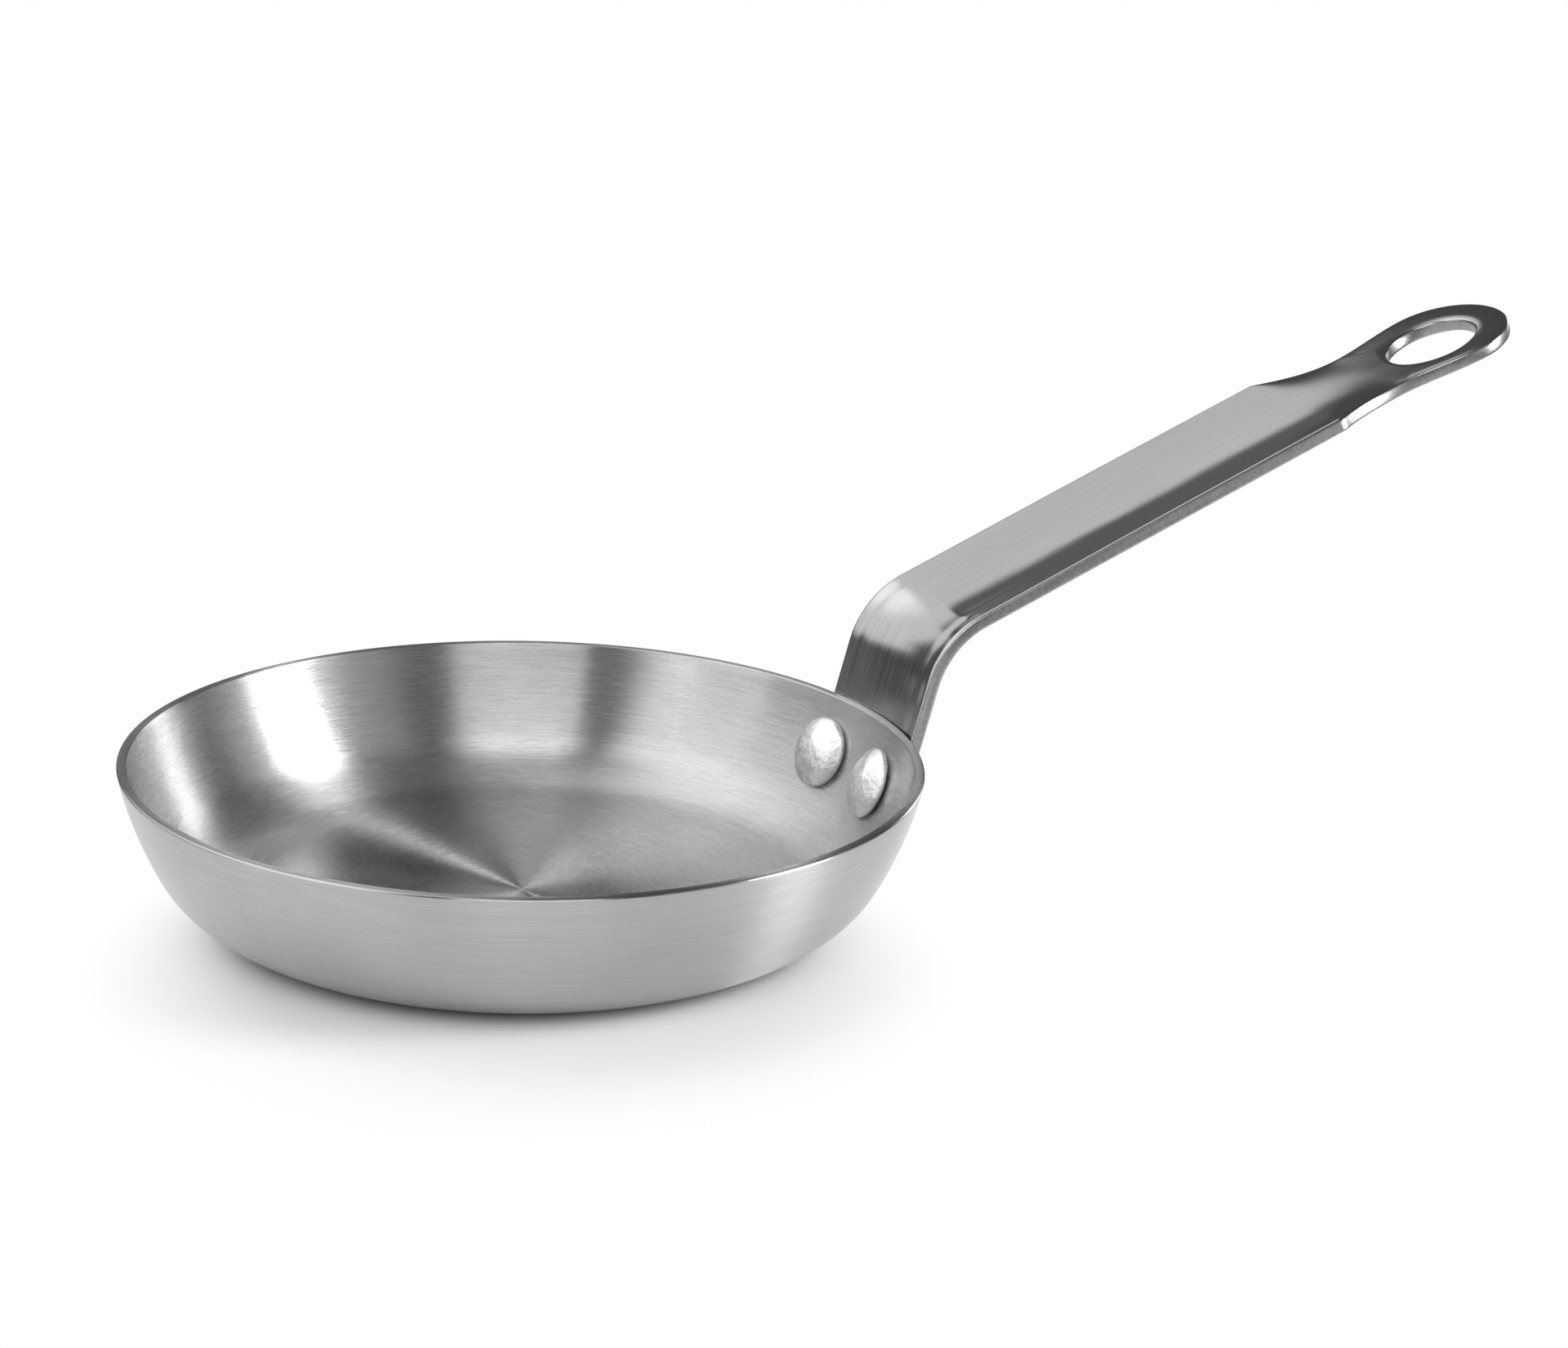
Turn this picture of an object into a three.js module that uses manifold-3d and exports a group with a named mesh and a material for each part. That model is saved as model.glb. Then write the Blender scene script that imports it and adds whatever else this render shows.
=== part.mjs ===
// Blini pan: a small shallow frying pan of pressed steel, with a bent strip handle on two rivets.
// Millimetres, +Z up. The origin is the centre of the base, on the table. The handle points along +X.

import * as THREE from 'three';
import { mergeVertices } from 'three/addons/utils/BufferGeometryUtils.js';
import Module from 'manifold-3d';

const wasm = await Module();
wasm.setup();

const DEGREE = Math.PI / 180;

// Bowl: its outside in section is a flat base, a heel arc and a gently bowed wall.
const RIM_RADIUS = 60;
const BOWL_HEIGHT = 22.9;
const RIM_LEAN = 12.2 * DEGREE;
const WALL_BOW_RADIUS = 58.5;
const HEEL_RADIUS = 15.4;
const SHEET_THICKNESS = 1.5;
const LIP_OUTER_ROUND = 0.8;
const LIP_INNER_ROUND = 0.3;

// Handle: a strip that follows the wall, rises above the rim, bends outwards and ends in a flat eye.
const STRIP_WIDTH = 26;
const STRIP_THICKNESS = 2.3;
const FOOT_BELOW_RIVETS = 6.4;
const FOOT_CORNER_RADIUS = 5;
const RISER_KICK = 3.4 * DEGREE;
const RISER_LENGTH = 18.7;
const BEND_RADIUS = 14.5;
const GRIP_RISE = 22 * DEGREE;
const GRIP_LENGTH = 77.5;
const EYE_DIP = 1 * DEGREE;
const NECK_FROM_SHOULDER = 14.4;
const NECK_WIDTH = 18.6;
const RING_FROM_SHOULDER = 30;
const RING_WIDTH = 22.5;
const HOLE_FROM_SHOULDER = 27.2;
const HOLE_ASIDE = 1;
const HOLE_TURN = 10 * DEGREE;
const HOLE_LENGTH = 16.6;
const HOLE_WIDTH = 13.2;

// Rivets: domed head inside the bowl, shank through wall and strip, flat tail outside.
const RIVET_ABOVE_HEEL = 5.8;
const RIVET_SPACING = 16.8;
const HEAD_DIAMETER = 11.2;
const HEAD_EDGE = 0.5;
const HEAD_DOME = 2;
const SHANK_DIAMETER = 5;
const TAIL_DIAMETER = 8.8;
const TAIL_HEIGHT = 1.6;

// Play between neighbouring pieces.
const SEAT_GAP = 0.3;
const HOLE_GAP = 0.3;

// Fineness of the facets.
const ROUND_STEPS = 64;
const RIVET_STEPS = 24;
const HOLE_STEPS = 40;
const ARC_STEPS = 4;
const ACROSS_STEPS = 6;
const WELD = 1e-4;

// Section of the bowl: centres of the wall arc and of the heel arc, and the wall angle where they meet.
// A wall angle is that of the outward normal below the horizontal.
const wallCentre = new THREE.Vector2(
  RIM_RADIUS - WALL_BOW_RADIUS * Math.cos(RIM_LEAN),
  BOWL_HEIGHT + WALL_BOW_RADIUS * Math.sin(RIM_LEAN),
);
const centreDrop = wallCentre.y - HEEL_RADIUS;
const centreSpan = Math.sqrt((WALL_BOW_RADIUS - HEEL_RADIUS) ** 2 - centreDrop ** 2);
const heelCentre = new THREE.Vector2(wallCentre.x + centreSpan, HEEL_RADIUS);
const heelAngle = Math.atan2(centreDrop, centreSpan);
const rivetAngle = heelAngle - RIVET_ABOVE_HEEL / WALL_BOW_RADIUS;
const outerRound = Math.min(LIP_OUTER_ROUND, 0.6 * SHEET_THICKNESS);
const innerRound = Math.min(LIP_INNER_ROUND, 0.3 * SHEET_THICKNESS);

function solidOf(geometry) {
  geometry.deleteAttribute('normal');
  geometry.deleteAttribute('uv');
  const welded = mergeVertices(geometry, WELD);
  const corners = welded.index.array;
  const kept = [];
  for (let i = 0; i < corners.length; i += 3) {
    const [a, b, c] = corners.slice(i, i + 3);
    if (a !== b && b !== c && c !== a) kept.push(a, b, c);
  }
  return new wasm.Manifold(new wasm.Mesh({
    numProp: 3,
    vertProperties: new Float32Array(welded.attributes.position.array),
    triVerts: new Uint32Array(kept),
  }));
}

function geometryOf(solid) {
  const mesh = solid.getMesh();
  const geometry = new THREE.BufferGeometry();
  geometry.setAttribute('position', new THREE.BufferAttribute(mesh.vertProperties, 3));
  geometry.setIndex(new THREE.BufferAttribute(mesh.triVerts, 1));
  geometry.computeVertexNormals();
  return geometry;
}

function steel(colour, roughness) {
  return new THREE.MeshStandardMaterial({ color: colour, roughness, metalness: 1 });
}

function arcPoints(centre, radius, fromAngle, toAngle, steps) {
  return Array.from({ length: steps + 1 }, (_, i) => {
    const angle = fromAngle + (toAngle - fromAngle) * i / steps;
    return new THREE.Vector2(centre.x + radius * Math.cos(angle), centre.y + radius * Math.sin(angle));
  });
}

// The wall is cut square at the lip, and the two edges of the cut are rounded.
function lipPoints() {
  const outward = new THREE.Vector2(Math.cos(RIM_LEAN), -Math.sin(RIM_LEAN));
  const along = new THREE.Vector2(Math.sin(RIM_LEAN), Math.cos(RIM_LEAN));
  const corner = new THREE.Vector2(RIM_RADIUS, BOWL_HEIGHT);
  const roundAt = (depth, radius, startAngle) => {
    const centre = corner.clone().addScaledVector(outward, -depth).addScaledVector(along, -radius);
    return arcPoints(centre, radius, startAngle, startAngle + Math.PI / 2, ARC_STEPS - 2);
  };
  return [
    ...roundAt(outerRound, outerRound, -RIM_LEAN),
    ...roundAt(SHEET_THICKNESS - innerRound, innerRound, Math.PI / 2 - RIM_LEAN),
  ];
}

function bowlGeometry() {
  const straightDown = -Math.PI / 2;
  const insideBow = WALL_BOW_RADIUS - SHEET_THICKNESS;
  const insideHeel = HEEL_RADIUS - SHEET_THICKNESS;
  const outerTop = -RIM_LEAN - outerRound / WALL_BOW_RADIUS;
  const innerTop = -RIM_LEAN - innerRound / insideBow;
  const outside = [
    ...arcPoints(heelCentre, HEEL_RADIUS, straightDown, -heelAngle, ARC_STEPS + 2),
    ...arcPoints(wallCentre, WALL_BOW_RADIUS, -heelAngle, outerTop, ARC_STEPS).slice(1, -1),
  ];
  const inside = [
    ...arcPoints(wallCentre, insideBow, innerTop, -heelAngle, ARC_STEPS).slice(1),
    ...arcPoints(heelCentre, insideHeel, -heelAngle, straightDown, ARC_STEPS + 2).slice(1),
  ];
  const profile = [
    new THREE.Vector2(0, 0),
    ...outside,
    ...lipPoints(),
    ...inside,
    new THREE.Vector2(0, SHEET_THICKNESS),
  ];
  return new THREE.LatheGeometry(profile, ROUND_STEPS).rotateX(Math.PI / 2);
}

// The strip's route in the XZ plane: the middle of its inner or upper face, from foot to tip.
// Each stretch has a length and a curvature, positive where the strip curls towards that face.
// The riser leaves the wall a little below the rim, where the wall leans as much as the riser does.
const eyeLength = RING_FROM_SHOULDER + RING_WIDTH / 2;
const footAngle = rivetAngle + FOOT_BELOW_RIVETS / WALL_BOW_RADIUS;
const footRadius = WALL_BOW_RADIUS + SEAT_GAP;
const riserLean = RIM_LEAN + RISER_KICK;
const bendTurn = Math.PI / 2 - riserLean - GRIP_RISE;
const bendSetback = BEND_RADIUS * Math.tan(bendTurn / 2);
const stretches = [
  { name: 'foot', length: footRadius * (footAngle - riserLean), curvature: 1 / footRadius },
  { name: 'riser', length: RISER_LENGTH - bendSetback, curvature: 0 },
  { name: 'bend', length: BEND_RADIUS * bendTurn, curvature: -1 / BEND_RADIUS },
  { name: 'grip', length: GRIP_LENGTH - bendSetback, curvature: 0 },
  { name: 'shoulder', length: NECK_FROM_SHOULDER, curvature: -EYE_DIP / NECK_FROM_SHOULDER },
  { name: 'eye', length: eyeLength - NECK_FROM_SHOULDER, curvature: 0 },
];

function startOf(name) {
  const index = stretches.findIndex((stretch) => stretch.name === name);
  return stretches.slice(0, index).reduce((sum, stretch) => sum + stretch.length, 0);
}

const shoulderAt = startOf('shoulder');

// Place and heading of the strip at a distance along its route.
function routeAt(distance) {
  let x = wallCentre.x + footRadius * Math.cos(footAngle);
  let z = wallCentre.y - footRadius * Math.sin(footAngle);
  let heading = Math.PI / 2 - footAngle;
  let left = distance;
  for (const { length, curvature } of stretches) {
    const run = Math.min(left, length);
    const turn = curvature * run;
    const chord = curvature === 0 ? run : 2 * Math.sin(turn / 2) / curvature;
    x += chord * Math.cos(heading + turn / 2);
    z += chord * Math.sin(heading + turn / 2);
    heading += turn;
    left -= run;
  }
  const along = new THREE.Vector3(Math.cos(heading), 0, Math.sin(heading));
  const facing = new THREE.Vector3(-Math.sin(heading), 0, Math.cos(heading));
  return { place: new THREE.Vector3(x, 0, z), along, facing };
}

// Half the width of the strip: rounded foot, even grip, drawn-in neck, round end.
function halfWidthAt(distance) {
  const half = STRIP_WIDTH / 2;
  const pastShoulder = distance - shoulderAt;
  if (distance < FOOT_CORNER_RADIUS) {
    const inset = FOOT_CORNER_RADIUS - distance;
    return half - FOOT_CORNER_RADIUS + Math.sqrt(FOOT_CORNER_RADIUS ** 2 - inset ** 2);
  }
  if (pastShoulder <= 0) return half;
  if (pastShoulder < NECK_FROM_SHOULDER) {
    const share = 1 - pastShoulder / NECK_FROM_SHOULDER;
    return (NECK_WIDTH + (STRIP_WIDTH - NECK_WIDTH) * share ** 2) / 2;
  }
  if (pastShoulder < RING_FROM_SHOULDER) {
    const share = THREE.MathUtils.smoothstep(pastShoulder, NECK_FROM_SHOULDER, RING_FROM_SHOULDER);
    return THREE.MathUtils.lerp(NECK_WIDTH, RING_WIDTH, share) / 2;
  }
  return Math.sqrt((RING_WIDTH / 2) ** 2 - (pastShoulder - RING_FROM_SHOULDER) ** 2);
}

// Across the strip the face is dished to the roundness of the wall.
// The dish fades out between shoulder and neck.
function dishAt(distance) {
  const wallRoundness = Math.cos(RIM_LEAN) / RIM_RADIUS;
  const fade = THREE.MathUtils.smoothstep(distance - shoulderAt, 0, NECK_FROM_SHOULDER);
  const nearlyFlat = 1e-3;
  return wallRoundness * Math.max(1 - fade, nearlyFlat);
}

function ringOfStrip(distance) {
  const { place, along, facing } = routeAt(distance);
  const across = new THREE.Vector3().crossVectors(facing, along);
  const dish = dishAt(distance);
  const half = halfWidthAt(distance);
  const upper = [];
  const lower = [];
  for (let i = 0; i <= ACROSS_STEPS; i += 1) {
    const angle = dish * half * (2 * i / ACROSS_STEPS - 1);
    const normal = facing.clone().multiplyScalar(Math.cos(angle)).addScaledVector(across, -Math.sin(angle));
    const point = place.clone()
      .addScaledVector(facing, (1 - Math.cos(angle)) / dish)
      .addScaledVector(across, Math.sin(angle) / dish);
    upper.push(point);
    lower.unshift(point.clone().addScaledVector(normal, -STRIP_THICKNESS));
  }
  return [...upper, ...lower];
}

function spread(from, to, steps) {
  return Array.from({ length: steps }, (_, i) => from + (to - from) * i / steps);
}

function stripStations() {
  const tipSteps = ARC_STEPS + 3;
  const cornerRound = spread(0.2, 1, ARC_STEPS - 1)
    .map((t) => FOOT_CORNER_RADIUS * (1 - Math.cos(t * Math.PI / 2)));
  const ringAt = shoulderAt + RING_FROM_SHOULDER;
  const tipRound = spread(0, 1, tipSteps)
    .map((t) => ringAt + RING_WIDTH / 2 * Math.sin(t * Math.PI / 2));
  return [
    ...cornerRound,
    ...spread(FOOT_CORNER_RADIUS, startOf('riser'), ARC_STEPS - 1),
    startOf('riser'),
    ...spread(startOf('bend'), startOf('grip'), ARC_STEPS + 1),
    startOf('grip'),
    ...spread(shoulderAt, shoulderAt + NECK_FROM_SHOULDER, ARC_STEPS + 1),
    ...spread(shoulderAt + NECK_FROM_SHOULDER, ringAt, ARC_STEPS),
    ...tipRound,
  ];
}

// The strip is skinned over its rings, with a flat cap at the foot and a narrow one at the tip.
function stripGeometry() {
  const rings = stripStations().map(ringOfStrip);
  const size = rings[0].length;
  const position = rings.flat().flatMap((point) => point.toArray());
  const index = [];
  for (let r = 0; r + 1 < rings.length; r += 1) {
    for (let i = 0; i < size; i += 1) {
      const a = r * size + i;
      const b = r * size + (i + 1) % size;
      index.push(a, a + size, b, b, a + size, b + size);
    }
  }
  const last = (rings.length - 1) * size;
  for (let i = 0; i + 1 < size / 2; i += 1) {
    const j = size - 1 - i;
    index.push(i, i + 1, j, i + 1, j - 1, j);
    index.push(last + i, last + j, last + i + 1, last + i + 1, last + j, last + j - 1);
  }
  const geometry = new THREE.BufferGeometry();
  geometry.setAttribute('position', new THREE.Float32BufferAttribute(position, 3));
  geometry.setIndex(index);
  return geometry;
}

// A punch for the hanging hole, square to the eye.
// The hole sits a little aside of the middle and a little askew.
function eyePunch() {
  const { place, along, facing } = routeAt(shoulderAt + HOLE_FROM_SHOULDER);
  const halfLength = HOLE_LENGTH / 2;
  const halfWidth = HOLE_WIDTH / 2;
  const fullTurn = 2 * Math.PI;
  const outline = new THREE.Shape()
    .absellipse(0, 0, halfLength, halfWidth, 0, fullTurn, false, HOLE_TURN);
  const depth = 3 * STRIP_THICKNESS;
  const options = { depth, bevelEnabled: false, curveSegments: HOLE_STEPS };
  const punch = new THREE.ExtrudeGeometry(outline, options);
  const across = new THREE.Vector3().crossVectors(facing, along);
  punch.translate(0, -HOLE_ASIDE, -depth / 2 - STRIP_THICKNESS / 2);
  punch.applyMatrix4(new THREE.Matrix4().makeBasis(along, across, facing).setPosition(place));
  return punch;
}

// Each rivet stands square to the wall. Its zero is on the outside of the wall, and its axis points out.
function rivetPose(side) {
  const radius = wallCentre.x + WALL_BOW_RADIUS * Math.cos(rivetAngle);
  const height = wallCentre.y - WALL_BOW_RADIUS * Math.sin(rivetAngle);
  const turn = side * Math.asin(RIVET_SPACING / 2 / radius);
  const axis = new THREE.Vector3(
    Math.cos(rivetAngle) * Math.cos(turn),
    Math.cos(rivetAngle) * Math.sin(turn),
    -Math.sin(rivetAngle),
  );
  const place = new THREE.Vector3(radius * Math.cos(turn), radius * Math.sin(turn), height);
  return { place, turned: new THREE.Quaternion().setFromUnitVectors(new THREE.Vector3(0, 1, 0), axis) };
}

function rivetGeometry() {
  const headRadius = HEAD_DIAMETER / 2;
  const shankRadius = SHANK_DIAMETER / 2;
  const tailRadius = TAIL_DIAMETER / 2;
  const wallSag = headRadius ** 2 / (2 * (WALL_BOW_RADIUS - SHEET_THICKNESS));
  const headSeat = -SHEET_THICKNESS - wallSag - SEAT_GAP;
  const tailSeat = SEAT_GAP + STRIP_THICKNESS + SEAT_GAP;
  const domeRadius = (headRadius ** 2 + HEAD_DOME ** 2) / (2 * HEAD_DOME);
  const domeCentre = new THREE.Vector2(0, headSeat - HEAD_EDGE - HEAD_DOME + domeRadius);
  const domeSide = Math.atan2(headSeat - HEAD_EDGE - domeCentre.y, headRadius);
  const tailEdge = TAIL_HEIGHT / 3;
  const profile = [
    ...arcPoints(domeCentre, domeRadius, -Math.PI / 2, domeSide, ARC_STEPS),
    new THREE.Vector2(headRadius, headSeat),
    new THREE.Vector2(shankRadius, headSeat),
    new THREE.Vector2(shankRadius, tailSeat),
    new THREE.Vector2(tailRadius, tailSeat),
    new THREE.Vector2(tailRadius, tailSeat + TAIL_HEIGHT - tailEdge),
    new THREE.Vector2(tailRadius - tailEdge, tailSeat + TAIL_HEIGHT),
    new THREE.Vector2(0, tailSeat + TAIL_HEIGHT),
  ];
  profile[0].x = 0;
  return new THREE.LatheGeometry(profile, RIVET_STEPS);
}

function rivetDrill(side) {
  const { place, turned } = rivetPose(side);
  const radius = SHANK_DIAMETER / 2 + HOLE_GAP;
  const length = 4 * (SHEET_THICKNESS + STRIP_THICKNESS);
  const drill = new THREE.CylinderGeometry(radius, radius, length, RIVET_STEPS);
  return drill.applyQuaternion(turned).translate(place.x, place.y, place.z);
}

function addPiece(group, name, solid, material) {
  const piece = new THREE.Mesh(geometryOf(solid), material);
  piece.name = name;
  group.add(piece);
  return piece;
}

const pan = new THREE.Group();
const drills = [1, -1].map((side) => solidOf(rivetDrill(side)));
const bowl = drills.reduce((body, drill) => body.subtract(drill), solidOf(bowlGeometry()));
const strip = drills.reduce((body, drill) => body.subtract(drill), solidOf(stripGeometry()));

addPiece(pan, 'bowl', bowl, steel(0xb9b9b9, 0.35));
addPiece(pan, 'handle', strip.subtract(solidOf(eyePunch())), steel(0xa9a9a9, 0.4));
for (const [name, side] of [['rivet_far', 1], ['rivet_near', -1]]) {
  const rivet = addPiece(pan, name, solidOf(rivetGeometry()), steel(0xcdcdcd, 0.3));
  const { place, turned } = rivetPose(side);
  rivet.position.copy(place);
  rivet.quaternion.copy(turned);
}

export default pan;
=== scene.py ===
# Blini pan: a small shallow frying pan of brushed steel, with a bent strip handle on two rivets.
# Metres, +Z up. The origin is the centre of the base, on the table. The handle points along +X.

from math import asin, atan2, cos, pi, radians, sin, sqrt, tan

import bmesh
import bpy
from mathutils import Matrix, Vector


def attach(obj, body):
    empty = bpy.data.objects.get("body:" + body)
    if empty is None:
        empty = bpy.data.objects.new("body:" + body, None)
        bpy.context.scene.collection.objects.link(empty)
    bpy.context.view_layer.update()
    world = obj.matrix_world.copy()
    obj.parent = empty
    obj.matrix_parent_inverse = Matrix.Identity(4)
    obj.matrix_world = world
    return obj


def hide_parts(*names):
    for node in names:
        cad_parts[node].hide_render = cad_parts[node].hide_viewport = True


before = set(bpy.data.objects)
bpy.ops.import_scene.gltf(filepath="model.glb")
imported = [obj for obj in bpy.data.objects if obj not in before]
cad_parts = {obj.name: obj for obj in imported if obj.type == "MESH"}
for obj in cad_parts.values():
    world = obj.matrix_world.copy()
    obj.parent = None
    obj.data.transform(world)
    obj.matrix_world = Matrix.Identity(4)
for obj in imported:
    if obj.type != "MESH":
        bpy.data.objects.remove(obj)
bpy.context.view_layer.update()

# Bowl
# One disc of steel sheet, pressed and spun to a flat base, a round heel and a flared wall.
# It was brushed while it turned, so fine lines run round it inside and out, and its lip is rounded.

MM = 0.001
rim_radius = 60 * MM
bowl_height = 22.9 * MM
rim_lean = radians(12.2)
wall_bow = 58.5 * MM
heel_radius = 15.4 * MM
sheet = 1.5 * MM
lip_outer_round = 0.3 * MM
lip_inner_round = 0.2 * MM
heel_steps = 16
wall_steps = 12
lip_outer_steps = 8
lip_inner_steps = 5
bowl_steps = 256
pole_gap = 0.001 * MM
wall_centre = Vector((rim_radius - wall_bow * cos(rim_lean), bowl_height + wall_bow * sin(rim_lean)))
centre_drop = wall_centre.y - heel_radius
centre_span = sqrt((wall_bow - heel_radius) ** 2 - centre_drop ** 2)
heel_centre = Vector((wall_centre.x + centre_span, heel_radius))
heel_angle = atan2(centre_drop, centre_span)


def draw_line(mesh, tip, place):
    """Carries a section on in a straight line to a place in the XZ plane."""
    made = bmesh.ops.extrude_vert_indiv(mesh, verts=[tip])["verts"][0]
    made.co = (place[0], 0, place[1])
    return made


def draw_arc(mesh, tip, centre, turn, steps):
    """Carries a section on round a centre in the XZ plane: a positive turn climbs from base to wall."""
    middle = (centre[0], 0, centre[1])
    made = bmesh.ops.spin(mesh, geom=[tip], cent=middle, axis=(0, -1, 0), angle=turn, steps=steps)
    return made["geom_last"][0]


def lathe(mesh, steps):
    """Turns the section drawn so far once round the Z axis and closes its poles."""
    section = mesh.verts[:] + mesh.edges[:]
    bmesh.ops.spin(
        mesh, geom=section, cent=(0, 0, 0), axis=(0, 0, 1), angle=2 * pi, steps=steps, use_merge=True
    )
    bmesh.ops.remove_doubles(mesh, verts=mesh.verts[:], dist=pole_gap)
    bmesh.ops.recalc_face_normals(mesh, faces=mesh.faces[:])


def piece_of(mesh, name, material):
    """Makes a smooth-shaded piece of a finished mesh, with its place in its vertices."""
    for face in mesh.faces:
        face.smooth = True
    data = bpy.data.meshes.new(name)
    mesh.to_mesh(data)
    mesh.free()
    data.materials.append(material)
    piece = bpy.data.objects.new(name, data)
    bpy.context.scene.collection.objects.link(piece)
    return piece


class Signal:
    """A shader socket that stands in Python expressions on values, each of which adds its Math node."""

    def __init__(self, tree, socket=None):
        self.tree = tree
        self.socket = socket

    def node(self, kind, settings=(), sockets=(), output=0):
        """Adds a node of any type: first its settings, then the values or links of its sockets."""
        made = self.tree.nodes.new("ShaderNode" + kind)
        for name, value in dict(settings).items():
            setattr(made, name, value)
        for name, value in dict(sockets).items():
            if isinstance(value, Signal):
                self.tree.links.new(value.socket, made.inputs[name])
            else:
                made.inputs[name].default_value = value
        return Signal(self.tree, made.outputs[output] if made.outputs else None)

    def maths(self, operation, first, second):
        """Adds a Math node on two values."""
        return self.node("Math", {"operation": operation}, {0: first, 1: second})

    def __add__(self, other):
        return self.maths("ADD", self, other)

    def __radd__(self, other):
        return self.maths("ADD", other, self)

    def __sub__(self, other):
        return self.maths("SUBTRACT", self, other)

    def __rsub__(self, other):
        return self.maths("SUBTRACT", other, self)

    def __mul__(self, other):
        return self.maths("MULTIPLY", self, other)

    def __rmul__(self, other):
        return self.maths("MULTIPLY", other, self)

    def vector(self, operation, other, output="Vector"):
        """Adds a Vector Math node on this vector and another."""
        return self.node("VectorMath", {"operation": operation}, {0: self, 1: other}, output)

    def step(self, low, high, bottom=0.0, top=1.0):
        """Rises smoothly from bottom to top as the signal goes from low to high."""
        ends = {"From Min": low, "From Max": high, "To Min": bottom, "To Max": top}
        return self.node("MapRange", {"interpolation_type": "SMOOTHSTEP"}, {"Value": self, **ends})

    def noise(self, detail=2.0):
        """Grain with a period of about one unit of this vector."""
        sockets = {"Vector": self, "Scale": 1.0, "Detail": detail, "Roughness": 0.5}
        return self.node("TexNoise", (), sockets)


def new_finish(name):
    """An empty material and the signal that its nodes start from."""
    finish = bpy.data.materials.new(name)
    finish.use_nodes = True
    finish.node_tree.nodes.clear()
    return finish, Signal(finish.node_tree)


def shade(start, tone, dark, light, roughness, normal, anisotropic=0.0, turned=0.0):
    """Metal whose colour runs from dark to light with the tone."""
    colours = {"Factor": tone, 6: (dark, dark, dark, 1), 7: (light, light, light, 1)}
    colour = start.node("Mix", {"data_type": "RGBA"}, colours, 2)
    sockets = {
        "Base Color": colour,
        "Metallic": 1.0,
        "Roughness": roughness,
        "Normal": normal,
        "Anisotropic": anisotropic,
        "Anisotropic Rotation": turned,
    }
    return start.node("BsdfPrincipled", (), sockets)


def bump(height, distance, under=None):
    """The surface normal over a relief this high, on top of a coarser one."""
    sockets = {"Height": height, "Distance": distance, "Strength": 1.0}
    if under:
        sockets["Normal"] = under
    return height.node("Bump", (), sockets)


def bowl_steel():
    """Steel brushed on the lathe: lines of several widths that run round the axis for part of a turn."""
    steel, start = new_finish("bowl_steel")
    place = start.node("TexCoord", output="Object")
    inside = start.node("Attribute", {"attribute_name": "inside"}, output="Fac")
    level = place.vector("MULTIPLY", (1, 1, 0))
    radius = level.vector("LENGTH", (0, 0, 0), "Value")
    height = place.vector("DOT_PRODUCT", (0, 0, 1), "Value")
    direction = level.vector("NORMALIZE", (0, 0, 0))
    reach = radius + height

    def brush(width, runs, detail=2.0):
        """Lines of one width, in about this many runs on each radian round the axis."""
        around = start.node("VectorMath", {"operation": "SCALE"}, {0: direction, "Scale": runs})
        across = start.node("CombineXYZ", (), {"Z": reach * (1 / width)})
        return around.vector("ADD", across).noise(detail)

    fine = brush(0.16 * MM, 15.0, 3.0)
    broad = brush(0.55 * MM, 5.0)
    dashes = brush(0.16 * MM, 17.0, 1.0).step(0.56, 0.7)
    cloud = place.vector("MULTIPLY", (90, 90, 90)).noise(3.0)
    wall = height.step(sheet + 0.1 * MM, 2 * sheet)
    lines = (fine * 0.45 + broad * 0.35 + cloud * 0.2).step(0.36, 0.64)
    # Painted shade: the inner floor is painted darker than the inner wall, and the outside darker than the
    # inside, to deepen their reflections.
    tone = 0.2 + lines * (0.2 + inside * 0.2) + inside * (wall * 0.4 - 0.18)
    waves = bump(broad, 0.02 * MM)
    smooth = bump(fine, 0.015 * MM, waves)
    rough = bump(fine, 0.03 * MM, waves)
    polish = shade(start, tone, 0.4, 0.68, 0.17 + fine * 0.06, smooth, 1.0, 0.25)
    scratches = shade(start, tone, 0.42, 0.72, 0.46 + broad * 0.04, rough, 1.0, 0.25)
    heel = wall * height.step(4 * MM, 8 * MM, 1.0, 0.0)
    scrubbed = 0.2 + heel * 0.18 + fine * 0.16 + dashes * 0.3
    share = 0.08 + fine * 0.16 + inside * scrubbed
    surface = start.node("MixShader", (), {"Fac": share, 1: polish, 2: scratches})
    start.node("OutputMaterial", (), {"Surface": surface})
    return steel


section = bmesh.new()
tip = section.verts.new((0, 0, 0))
flat_edge = 0.98 * heel_centre.x
inside_bow = wall_bow - sheet
rim_drop = wall_centre.y - bowl_height
outer_bow = wall_bow - lip_outer_round
outer_end = asin((rim_drop + lip_outer_round) / outer_bow)
outer_lip = (wall_centre.x + outer_bow * cos(outer_end), bowl_height - lip_outer_round)
inner_bow = inside_bow + lip_inner_round
inner_end = asin((rim_drop + lip_inner_round) / inner_bow)
inner_lip = (wall_centre.x + inner_bow * cos(inner_end), bowl_height - lip_inner_round)
tip = draw_line(section, tip, (flat_edge, 0))
tip = draw_line(section, tip, (heel_centre.x, 0))
tip = draw_arc(section, tip, heel_centre, pi / 2 - heel_angle, heel_steps)
tip = draw_arc(section, tip, wall_centre, heel_angle - outer_end, wall_steps)
tip = draw_arc(section, tip, outer_lip, pi / 2 + outer_end, lip_outer_steps)
outside_verts = len(section.verts)
tip = draw_line(section, tip, (inner_lip[0], bowl_height))
tip = draw_arc(section, tip, inner_lip, pi / 2 - inner_end, lip_inner_steps)
tip = draw_arc(section, tip, wall_centre, inner_end - heel_angle, wall_steps)
tip = draw_arc(section, tip, heel_centre, heel_angle - pi / 2, heel_steps)
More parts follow.
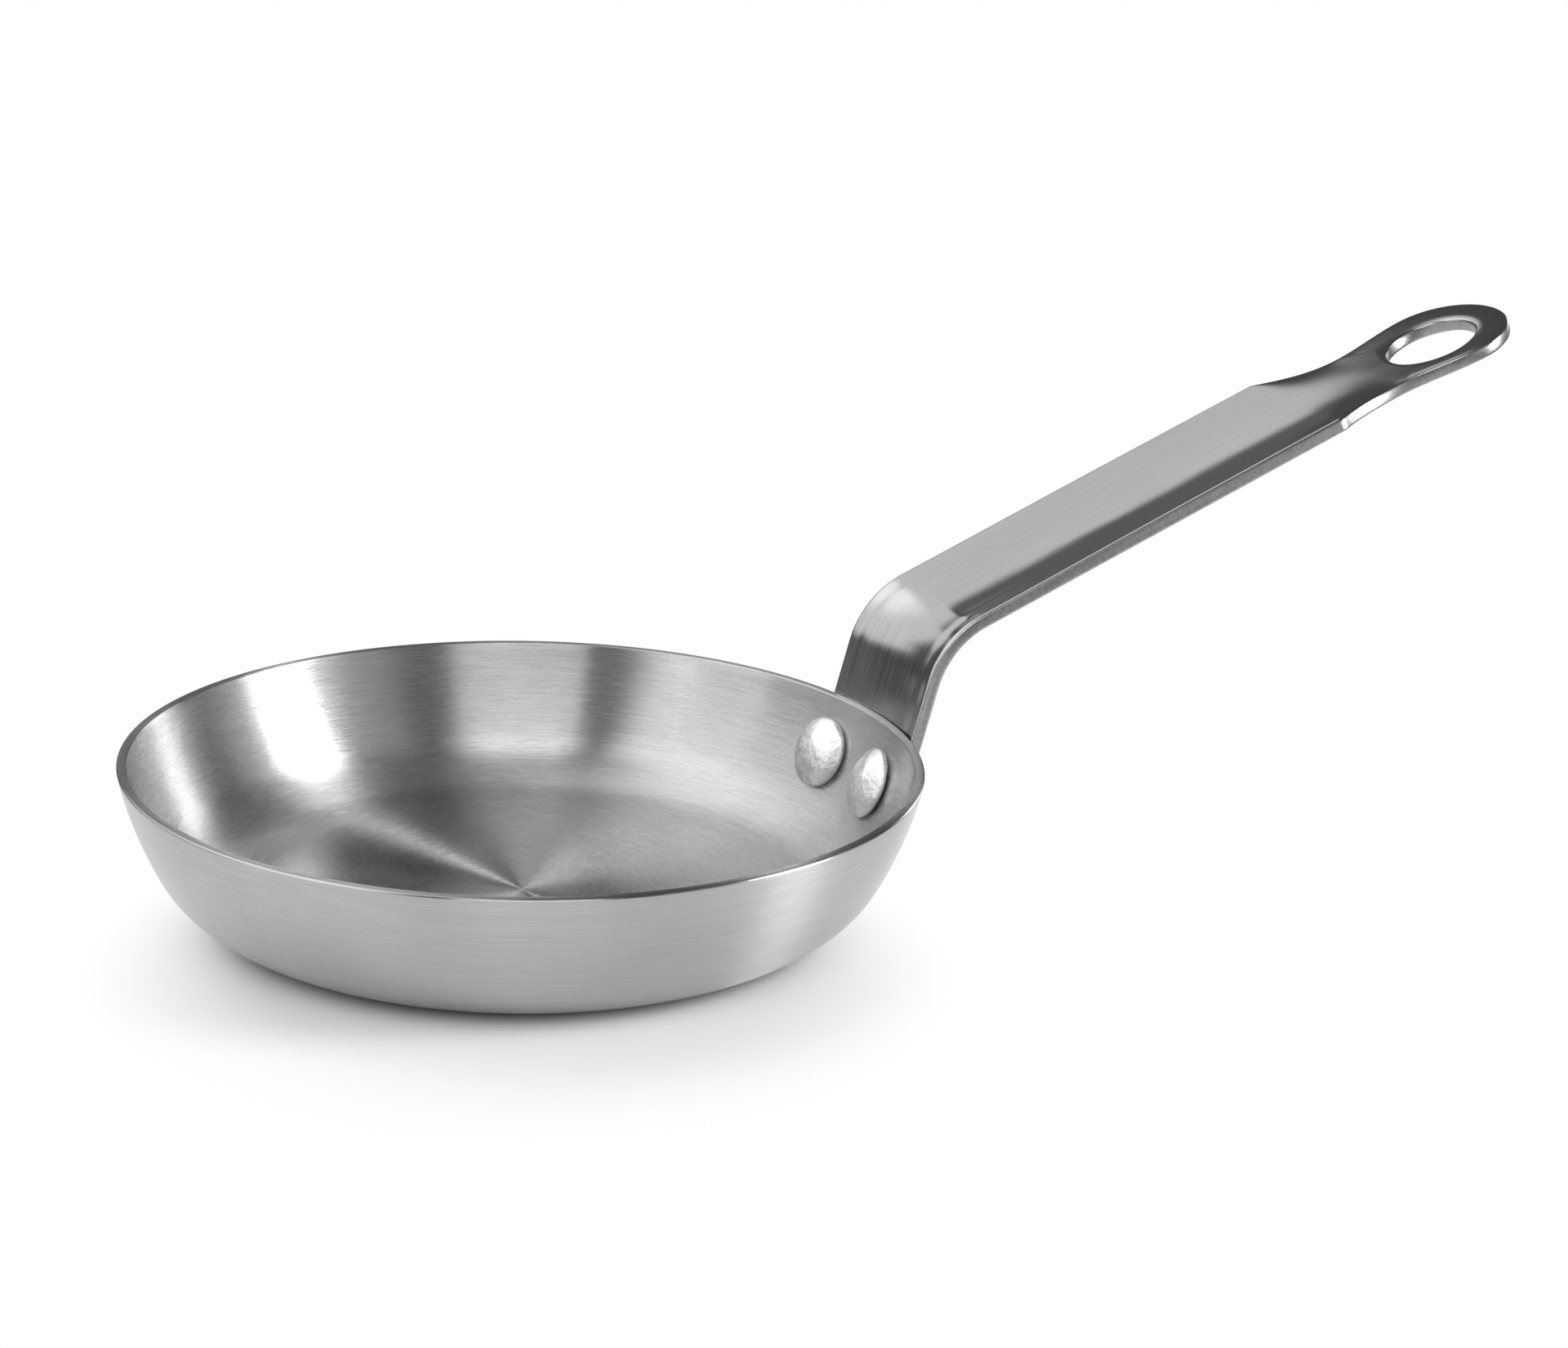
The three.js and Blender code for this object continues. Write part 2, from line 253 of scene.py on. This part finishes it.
tip = draw_line(section, tip, (flat_edge, sheet))
tip = draw_line(section, tip, (0, sheet))
inside_layer = section.verts.layers.float.new("inside")
for place, vert in enumerate(section.verts):
    vert[inside_layer] = place >= outside_verts
lathe(section, bowl_steps)
bowl = piece_of(section, "spun_bowl", bowl_steel())
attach(bowl, "root")
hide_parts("bowl")

# Handle
# One stamped strip of steel, dished to the wall's roundness, bent to rise over the rim and run outwards.
# Its eye is punched in the flat blank, its edges are sheared and then tumbled round.
# Its foot hugs the outside of the wall, where two rivets hold it.

strip_width = 26 * MM
strip_thickness = 2.3 * MM
seat_gap = 0.3 * MM
rivet_above_heel = 5.8 * MM
foot_below_rivets = 6.4 * MM
foot_corner = 5 * MM
riser_lean = rim_lean + radians(3.4)
riser_length = 18.7 * MM
bend_radius = 14.5 * MM
grip_rise = radians(22)
grip_length = 77.5 * MM
eye_dip = radians(1)
neck_from_shoulder = 14.4 * MM
neck_width = 18.6 * MM
eye_from_shoulder = 16 * MM
ring_from_shoulder = 30 * MM
ring_width = 22.5 * MM
hole_from_shoulder = 27.2 * MM
hole_aside = 1 * MM
hole_turn = radians(10)
hole_length = 16.6 * MM
hole_width = 13.2 * MM
upper_round = 0.5 * MM
lower_round = 0.5 * MM
press_from = 8.8 * MM
press_width = 2.2 * MM
press_depth = 0.17 * MM
press_fade = 40 * MM
roll_width = 1.3 * MM
roll_depth = 0.1 * MM
round_segments = 5
sharp_angle = radians(60)
weld_gap = 0.01 * MM

rivet_angle = heel_angle - rivet_above_heel / wall_bow
foot_angle = rivet_angle + foot_below_rivets / wall_bow
foot_bow = wall_bow + seat_gap
bend_turn = pi / 2 - riser_lean - grip_rise
bend_setback = bend_radius * tan(bend_turn / 2)
stretches = [
    (foot_bow * (foot_angle - riser_lean), 1 / foot_bow),
    (riser_length - bend_setback, 0),
    (bend_radius * bend_turn, -1 / bend_radius),
    (grip_length - bend_setback, 0),
    (neck_from_shoulder, -eye_dip / neck_from_shoulder),
    (ring_from_shoulder + ring_width / 2 - neck_from_shoulder, 0),
]
bend_start = stretches[0][0] + stretches[1][0]
bend_end = bend_start + stretches[2][0]
shoulder_at = sum(length for length, curvature in stretches[:4])


def ease(share):
    """A smooth rise from 0 to 1."""
    share = min(max(share, 0), 1)
    return share * share * (3 - 2 * share)


def half_width(distance):
    """Half the blank's width: rounded foot, even grip, drawn-in neck, swelling eye."""
    past = distance - shoulder_at
    if distance < foot_corner:
        return strip_width / 2 - foot_corner + sqrt(foot_corner ** 2 - (foot_corner - distance) ** 2)
    if past <= 0:
        return strip_width / 2
    if past < neck_from_shoulder:
        return (neck_width + (strip_width - neck_width) * (1 - past / neck_from_shoulder) ** 2) / 2
    swell = ease((past - neck_from_shoulder) / (ring_from_shoulder - neck_from_shoulder))
    return (neck_width + (ring_width - neck_width) * swell) / 2


def drawn_down(flat):
    """How far the upper face went down: by the shear at its edges, by the bending press at its margins."""
    past = flat.x - shoulder_at - ring_from_shoulder
    if past > 0:
        edge = ring_width / 2 - sqrt(past ** 2 + flat.y ** 2)
    else:
        edge = half_width(flat.x) - abs(flat.y)
    roll = roll_depth * max(1 - edge / roll_width, 0) ** 2
    fading = 1 - ease((flat.x - bend_end) / press_fade)
    press = press_depth * fading * ease((abs(flat.y) - press_from) / press_width)
    return (roll + press) * (1 + flat.z / strip_thickness)


def bent(flat):
    """Where a point of the flat blank goes when the strip is bent and dished."""
    x = wall_centre.x + foot_bow * cos(foot_angle)
    z = wall_centre.y - foot_bow * sin(foot_angle)
    heading = pi / 2 - foot_angle
    left = flat.x
    for length, curvature in stretches:
        run = min(left, length)
        turn = curvature * run
        chord = 2 * sin(turn / 2) / curvature if curvature else run
        x += chord * cos(heading + turn / 2)
        z += chord * sin(heading + turn / 2)
        heading += turn
        left -= run
    across = Vector((0, 1, 0))
    facing = Vector((-sin(heading), 0, cos(heading)))
    place = Vector((x, 0, z))
    dish = cos(rim_lean) / rim_radius * (1 - ease((flat.x - shoulder_at) / neck_from_shoulder))
    if dish < 1e-6:
        return place + flat.y * across + flat.z * facing
    angle = dish * flat.y
    normal = facing * cos(angle) - across * sin(angle)
    return place + facing * (1 - cos(angle)) / dish + across * sin(angle) / dish + normal * flat.z


def strip_steel():
    """Rolled steel, tumbled to a soft shine, with streaks along the strip and mottled sheared edges."""
    steel, start = new_finish("handle_steel")
    blank = start.node("Attribute", {"attribute_name": "blank"}, output="Vector")
    sheared = start.node("Attribute", {"attribute_name": "sheared"}, output="Fac")
    riser = blank.vector("DOT_PRODUCT", (1, 0, 0), "Value").step(bend_start, bend_end, 1.0, 0.0)
    streaks = blank.vector("MULTIPLY", (60, 3000, 1500)).noise(2.0)
    waves = blank.vector("MULTIPLY", (70, 110, 60)).noise(1.0)
    mottle = blank.vector("MULTIPLY", (3200, 3200, 1200)).noise(2.0)
    grain = (streaks * (0.5 + riser) + mottle * 0.6 - riser * 0.5).step(0.3, 0.8)
    tone = 0.6 + grain * 0.4 - sheared * (0.7 - mottle * 0.3)
    roughness = 0.08 + streaks * 0.04 + sheared * 0.24 + riser * (0.05 + streaks * 0.1)
    normal = bump(streaks, 0.004 * MM, bump(waves, 0.05 * MM))
    normal = bump(mottle * sheared, 0.01 * MM, normal)
    surface = shade(start, tone, 0.26, 0.5, roughness, normal)
    start.node("OutputMaterial", (), {"Surface": surface})
    return steel


blank = bmesh.new()
corner_cells = 8
grip_cells = 140
neck_cells = 22
cells_across = 36
cells_along = corner_cells + grip_cells + neck_cells
bmesh.ops.create_grid(blank, x_segments=cells_along, y_segments=cells_across, size=0.5)
for vert in blank.verts:
    cell = round((vert.co.x + 0.5) * cells_along)
    if cell < corner_cells:
        distance = foot_corner * (1 - cos(cell / corner_cells * pi / 2))
    elif cell < corner_cells + grip_cells:
        distance = foot_corner + (shoulder_at - foot_corner) * (cell - corner_cells) / grip_cells
    else:
        distance = shoulder_at + eye_from_shoulder * (cell - corner_cells - grip_cells) / neck_cells
    vert.co = (distance, 2 * vert.co.y * half_width(distance), 0)

eye_at = shoulder_at + eye_from_shoulder
ring_at = shoulder_at + ring_from_shoulder
swell_cells = 12
tip_cells = 18
near_neck = (eye_at, half_width(eye_at), 0)
corner = min(blank.verts, key=lambda vert: (vert.co - Vector(near_neck)).length)
for cell in range(swell_cells):
    corner = bmesh.ops.extrude_vert_indiv(blank, verts=[corner])["verts"][0]
    distance = eye_at + (ring_at - eye_at) * (cell + 1) / swell_cells
    corner.co = (distance, half_width(distance), 0)
ring_middle = (ring_at, 0, 0)
bmesh.ops.spin(blank, geom=[corner], cent=ring_middle, axis=(0, 0, -1), angle=pi / 2, steps=tip_cells)
loose = [edge for edge in blank.edges if not edge.link_faces]
loose_verts = list({vert for edge in loose for vert in edge.verts})
half_outline = loose + loose_verts
bmesh.ops.mirror(blank, geom=half_outline, matrix=Matrix.Identity(4), merge_dist=weld_gap, axis="Y")
bmesh.ops.remove_doubles(blank, verts=blank.verts[:], dist=weld_gap)
eye_edges = [edge for edge in blank.edges if all(vert.co.x > eye_at - weld_gap for vert in edge.verts)]
hole_middle = Vector((shoulder_at + hole_from_shoulder, -hole_aside, 0))
turned = Matrix.Rotation(hole_turn, 3, "Z")
ring = bmesh.ops.extrude_edge_only(blank, edges=eye_edges)["geom"]
for vert in ring:
    if isinstance(vert, bmesh.types.BMVert):
        aside = turned.transposed() @ (vert.co - hole_middle)
        angle = atan2(aside.y / hole_width, aside.x / hole_length)
        on_hole = Vector((hole_length / 2 * cos(angle), hole_width / 2 * sin(angle), 0))
        vert.co = hole_middle + turned @ on_hole
inner_edges = {item for item in ring if isinstance(item, bmesh.types.BMEdge)}
ring_faces = {item for item in ring if isinstance(item, bmesh.types.BMFace)}
spokes = [
    edge
    for edge in {edge for face in ring_faces for edge in face.edges}
    if edge not in inner_edges and edge not in eye_edges
]
bmesh.ops.subdivide_edges(blank, edges=spokes, cuts=2, use_grid_fill=True)
under = bmesh.ops.extrude_face_region(blank, geom=blank.faces[:])["geom"]
under_verts = [item for item in under if isinstance(item, bmesh.types.BMVert)]
bmesh.ops.translate(blank, verts=under_verts, vec=(0, 0, -strip_thickness))
bmesh.ops.recalc_face_normals(blank, faces=blank.faces[:])


def sharp_edges(mesh, height):
    """The edges of the sheared outline and of the hole at one face of the blank."""
    level = [
        edge
        for edge in mesh.edges
        if all(abs(vert.co.z - height) < weld_gap for vert in edge.verts)
    ]
    return [edge for edge in level if edge.calc_face_angle(0) > sharp_angle]


for height, rounding in ((0, upper_round), (-strip_thickness, lower_round)):
    bmesh.ops.bevel(
        blank,
        geom=sharp_edges(blank, height),
        offset=rounding,
        offset_type="OFFSET",
        affect="EDGES",
        segments=round_segments,
        profile=0.5,
        material=-1,
    )
blank.normal_update()
blank_layer = blank.verts.layers.float_vector.new("blank")
sheared_layer = blank.verts.layers.float.new("sheared")
for vert in blank.verts:
    vert[blank_layer] = vert.co
    vert[sheared_layer] = 1 - abs(vert.normal.z)
    vert.co = bent(vert.co - Vector((0, 0, drawn_down(vert.co))))
bmesh.ops.recalc_face_normals(blank, faces=blank.faces[:])
handle = piece_of(blank, "strip_handle", strip_steel())
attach(handle, "root")
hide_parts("handle")

# Rivets
# Two solid rivets through wall and strip: a broad flattened dome inside the bowl, upset tails outside.
# They were hammered home cold, so their domes are a little uneven.

rivet_spacing = 16.8 * MM
head_radius = 5.6 * MM
head_edge = 0.5 * MM
head_dome = 2 * MM
shank_radius = 2.5 * MM
tail_radius = 4.4 * MM
tail_height = 1.6 * MM
dome_steps = 14
tail_steps = 6
rivet_steps = 64
head_seat = -sheet - head_radius ** 2 / (2 * inside_bow) - seat_gap
tail_seat = seat_gap + strip_thickness + seat_gap
dome_radius = (head_radius ** 2 + head_dome ** 2) / (2 * head_dome)
dome_turn = asin(head_radius / dome_radius)


def rivet_metal():
    """Soft bright metal with the marks of the hammer and of the tumbler."""
    metal, start = new_finish("rivet_steel")
    place = start.node("TexCoord", output="Object")
    dents = place.vector("MULTIPLY", (520, 520, 520)).noise(2.0)
    grain = place.vector("MULTIPLY", (2200, 2200, 2200)).noise(3.0)
    roughness = 0.34 + grain * 0.16
    normal = bump(grain, 0.03 * MM, bump(dents, 0.3 * MM))
    tone = (grain + dents).step(0.7, 1.3)
    surface = shade(start, tone, 0.7, 0.92, roughness, normal)
    start.node("OutputMaterial", (), {"Surface": surface})
    return metal


rivet_finish = rivet_metal()
for name, node, side in (("rivet_far_dome", "rivet_far", 1), ("rivet_near_dome", "rivet_near", -1)):
    rivet = bmesh.new()
    tip = rivet.verts.new((0, 0, head_seat - head_edge - head_dome))
    dome_centre = (0, head_seat - head_edge - head_dome + dome_radius)
    tip = draw_arc(rivet, tip, dome_centre, dome_turn, dome_steps)
    tip = draw_line(rivet, tip, (head_radius, head_seat))
    tip = draw_line(rivet, tip, (shank_radius, head_seat))
    tip = draw_line(rivet, tip, (shank_radius, tail_seat))
    tip = draw_line(rivet, tip, (tail_radius, tail_seat))
    tip = draw_arc(rivet, tip, (tail_radius - tail_height, tail_seat), pi / 2, tail_steps)
    tip = draw_line(rivet, tip, (0, tail_seat + tail_height))
    lathe(rivet, rivet_steps)
    place_radius = wall_centre.x + wall_bow * cos(rivet_angle)
    turn = side * asin(rivet_spacing / 2 / place_radius)
    axis = Vector((cos(rivet_angle) * cos(turn), cos(rivet_angle) * sin(turn), -sin(rivet_angle)))
    height = wall_centre.y - wall_bow * sin(rivet_angle)
    seat = Vector((place_radius * cos(turn), place_radius * sin(turn), height))
    stand = Matrix.Translation(seat) @ Vector((0, 0, 1)).rotation_difference(axis).to_matrix().to_4x4()
    bmesh.ops.transform(rivet, matrix=stand, verts=rivet.verts[:])
    piece = piece_of(rivet, name, rivet_finish)
    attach(piece, "root")
    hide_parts(node)

# Floor
# A plain sheet of white paper under the pan, which takes the pan's shadow.
# Its colour is painted darker below the pan's base, a painted shadow that deepens the contact shadow.
# Past the shadow it glows as white as the backdrop, to the camera and in the metal, so no edge shows.

floor_reach = 280 * MM
floor_cells = 8
shadow_middle = (-10.2 * MM, -23.9 * MM, 0)
shadow_fades_from = 36 * MM
shadow_fades_to = 64 * MM
painted_shadow_fades_from = 40 * MM
painted_shadow_fades_to = 49 * MM


def white_sheet():
    """Matt paper, painted darker under the pan's base as a painted shadow, that turns to plain white light
    where the shadow ends.
    """
    paper, start = new_finish("white_floor")
    place = start.node("TexCoord", output="Object")
    away = place.vector("DISTANCE", shadow_middle, "Value").step(shadow_fades_from, shadow_fades_to)
    seen = start.node("LightPath", output="Is Camera Ray")
    mirrored = start.node("LightPath", output="Is Glossy Ray")
    glow = away * (seen + mirrored)
    # Painted shadow: the paper's colour is 0.2 under the pan's base and rises to 0.88 past it.
    past_painted_shadow = place.vector("LENGTH", (0, 0, 0), "Value").step(painted_shadow_fades_from, painted_shadow_fades_to)
    painted_shadow_whites = {"Factor": past_painted_shadow, 6: (0.2, 0.2, 0.2, 1), 7: (0.88, 0.88, 0.88, 1)}
    white = start.node("Mix", {"data_type": "RGBA"}, painted_shadow_whites, 2)
    sockets = {"Base Color": white, "Roughness": 0.9, "Specular IOR Level": 0.0}
    lit = start.node("BsdfPrincipled", (), sockets)
    glowing = start.node("Emission", (), {"Color": (1, 1, 1, 1), "Strength": 1.0})
    surface = start.node("MixShader", (), {"Fac": glow, 1: lit, 2: glowing})
    start.node("OutputMaterial", (), {"Surface": surface})
    return paper


ground = bmesh.new()
bmesh.ops.create_grid(ground, x_segments=floor_cells, y_segments=floor_cells, size=floor_reach)
floor = piece_of(ground, "floor", white_sheet())

# Light
# Softboxes round the pan, drawn on the world, each a patch of sky in degrees round and above the table.
# Round the table, zero is towards the camera and plus is to its right.
# The world is plain white to the camera alone, and the metal mirrors the softboxes.

camera_azimuth = radians(-23.143)
# Each row: left and right edge, the softness of each, lower and upper edge, their softness, level.
softboxes = [
    (-178, -165, 1.5, 1, 27, 80, 2, 0.85),
    (-165, -152, 1, 3, 22, 80, 3, 0.92),
    (-173, -161, 0.6, 2, 12, 19.5, 1.5, 0.3),
    (-181, -168, 1, 1, 2, 26, 3, 0.07),
    (-152, -132, 3, 4, 16, 80, 3, 0.97),
    (-132, -80, 4, 4, 11, 80, 2.5, 1.06),
    (-115, -95, 4, 4, -8, 4, 3, 0.12),
    (-80, -37, 4, 8, -6, 58, 6, 1.15),
    (-150, -37, 8, 9, 36, 66, 8, 0.7),
    (-19, 23, 2, 2, -6, 71, 6, 1.0),
    (-26, 31, 3, 3, 41, 66, 4, 1.3),
    (42, 66, 6, 3, -6, 50, 8, 0.4),
    (60, 72, 6, 3, -6, 36, 8, 0.22),
    (72.5, 90.5, 2.5, 3, -6, 40, 8, 13.0),
    (84, 98, 3, 4, 36, 52, 5, 3.0),
    (90, 106, 4, 12, -6, 38, 8, 0.9),
    (131, 148, 4, 4, -3, 20, 4, 2.6),
    (145, 153, 3, 3, 12, 24, 3, 0.85),
]
overhead_from = 76
overhead_soft = 6
overhead_level = 0.2
sky_level = 0.1

world = bpy.data.worlds.new("studio")
bpy.context.scene.world = world
world.use_nodes = True
world.node_tree.nodes.clear()
sky = Signal(world.node_tree)
direction = sky.node("TexCoord", output="Generated")
towards = (sin(camera_azimuth), -cos(camera_azimuth), 0)
rightwards = (cos(camera_azimuth), sin(camera_azimuth), 0)
ahead = direction.vector("DOT_PRODUCT", towards, "Value")
aside = direction.vector("DOT_PRODUCT", rightwards, "Value")
upward = direction.vector("DOT_PRODUCT", (0, 0, 1), "Value")
round_degrees = sky.maths("ARCTAN2", aside, ahead) * (180 / pi)
above_degrees = sky.maths("ARCSINE", upward, 0.0) * (180 / pi)
overhead_ends = (overhead_from - overhead_soft, overhead_from + overhead_soft)
light = above_degrees.step(*overhead_ends, sky_level, overhead_level)
for left, right, soft_left, soft_right, low, high, soft_end, level in softboxes:
    box = round_degrees.step(left - soft_left, left + soft_left)
    box = box * round_degrees.step(right - soft_right, right + soft_right, 1.0, 0.0)
    box = box * above_degrees.step(low - soft_end, low + soft_end)
    box = box * above_degrees.step(high - soft_end, high + soft_end, 1.0, 0.0)
    light = light + box * level
seen = sky.node("LightPath", output="Is Camera Ray")
strength = light * (1 - seen) + seen
background = sky.node("Background", (), {"Color": (1, 1, 1, 1), "Strength": strength})
sky.node("OutputWorld", (), {"Surface": background})

# Camera
# The camera stands in front of the pan, a little to the left, and looks down on it.
# Its place, lens and roll were fitted to the rim, the base and the handle.

lens_length = 76.684
film_width = 36
camera_data = bpy.data.cameras.new("camera")
camera_data.lens = lens_length
camera_data.sensor_width = film_width
camera = bpy.data.objects.new("camera", camera_data)
bpy.context.scene.collection.objects.link(camera)
camera_place = Vector((-0.186566, -0.436490, 0.183215))
aim = Vector((0.043297, 0, 0.030975))
camera_roll = radians(2.197)
looking = (aim - camera_place).to_track_quat("-Z", "Y").to_matrix().to_4x4()
camera.matrix_world = Matrix.Translation(camera_place) @ looking @ Matrix.Rotation(camera_roll, 4, "Z")
bpy.context.scene.camera = camera
bpy.context.scene.view_settings.view_transform = "Standard"
